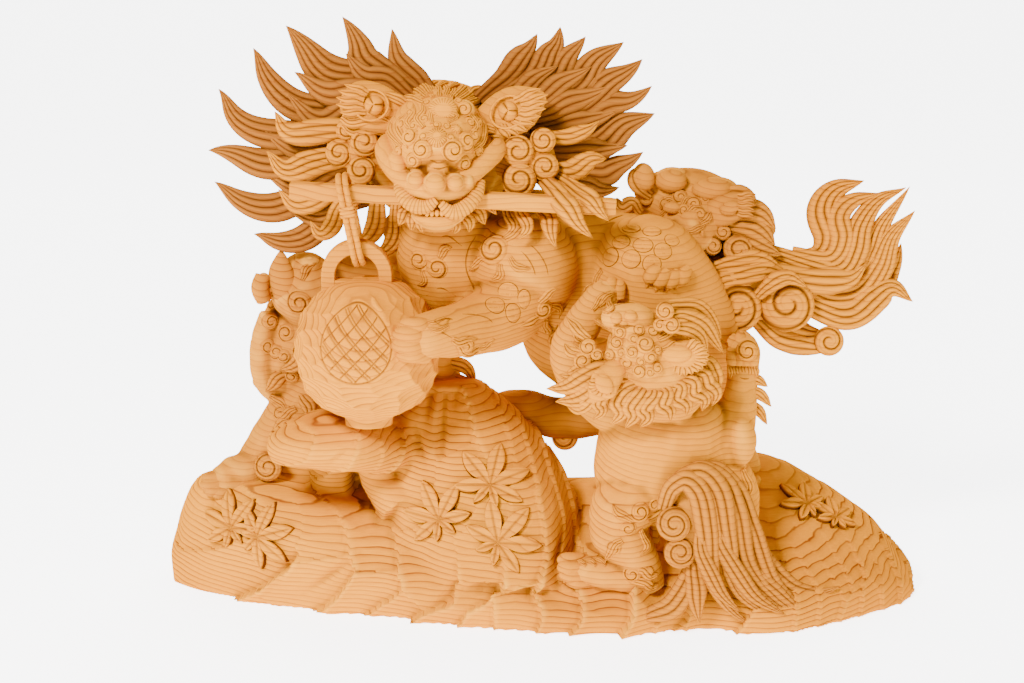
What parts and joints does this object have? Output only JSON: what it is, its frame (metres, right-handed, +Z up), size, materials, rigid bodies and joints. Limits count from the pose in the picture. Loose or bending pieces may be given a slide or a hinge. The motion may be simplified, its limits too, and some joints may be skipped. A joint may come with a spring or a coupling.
{
  "type": "carved lion statue",
  "caption": "Carved wooden guardian lion standing over a rock with its cubs, holding a stick in its mouth from which a jar hangs by a free cord link.",
  "frame": {"origin": "on the flat underside of the rock, under the middle of its length", "axes": "+Z up, +X to the viewer's right along the rock, from the jar towards the tail, and +Y away from the viewer"},
  "size_m": [0.424, 0.1652, 0.322],
  "materials": {
    "wood": "hand-carved with a satin oil finish, with a horizontal grain of fine darker growth rings"
  },
  "bodies": {
    "carving": {"dowels": "wood", "rock_base": "wood", "rock_peak": "wood", "jar_ledge": "wood", "maple_leaf_high": "wood", "maple_leaf_middle": "wood", "maple_leaf_low": "wood", "maple_leaves_left": "wood", "maple_leaf_right": "wood", "jar": "wood", "jar_handle": "wood", "stick": "wood", "lion_trunk": "wood", "lion_neck": "wood", "hind_leg_near": "wood", "hind_leg_far": "wood", "foreleg_near": "wood", "foreleg_far": "wood", "lion_skull": "wood", "lower_jaw": "wood", "ear_left": "wood", "ear_right": "wood", "mane_nape": "wood", "mane_left": "wood", "mane_right": "wood", "mane_inner_left": "wood", "mane_inner_right": "wood", "mane_curls_left": "wood", "mane_curls_right": "wood", "beard": "wood", "tail_curls": "wood", "tail_flames": "wood", "tail_hook": "wood", "cub_body": "wood", "cub_head": "wood", "cub_jaw": "wood", "cub_ear_right": "wood", "cub_ear_left": "wood", "cub_arm_left": "wood", "cub_arm_right": "wood", "cub_leg_left": "wood", "cub_leg_right": "wood", "cub_mane": "wood", "cub_tail_curls": "wood", "cub_tail_flames": "wood", "back_cub": "wood", "back_cub_mane": "wood", "left_cub": "wood", "left_cub_head": "wood", "left_cub_mane": "wood", "left_cub_leg": "wood"},
    "cord": {"cord_link": "wood"}
  },
  "joints": [
    {"name": "cord_swing", "type": "hinge", "parent": "carving", "child": "cord", "pos_m": [-0.10399, -0.04085, 0.23782], "axis": [0.9985, -0.0289, -0.0474], "range_deg": [-2.5, 2.5]}
  ]
}
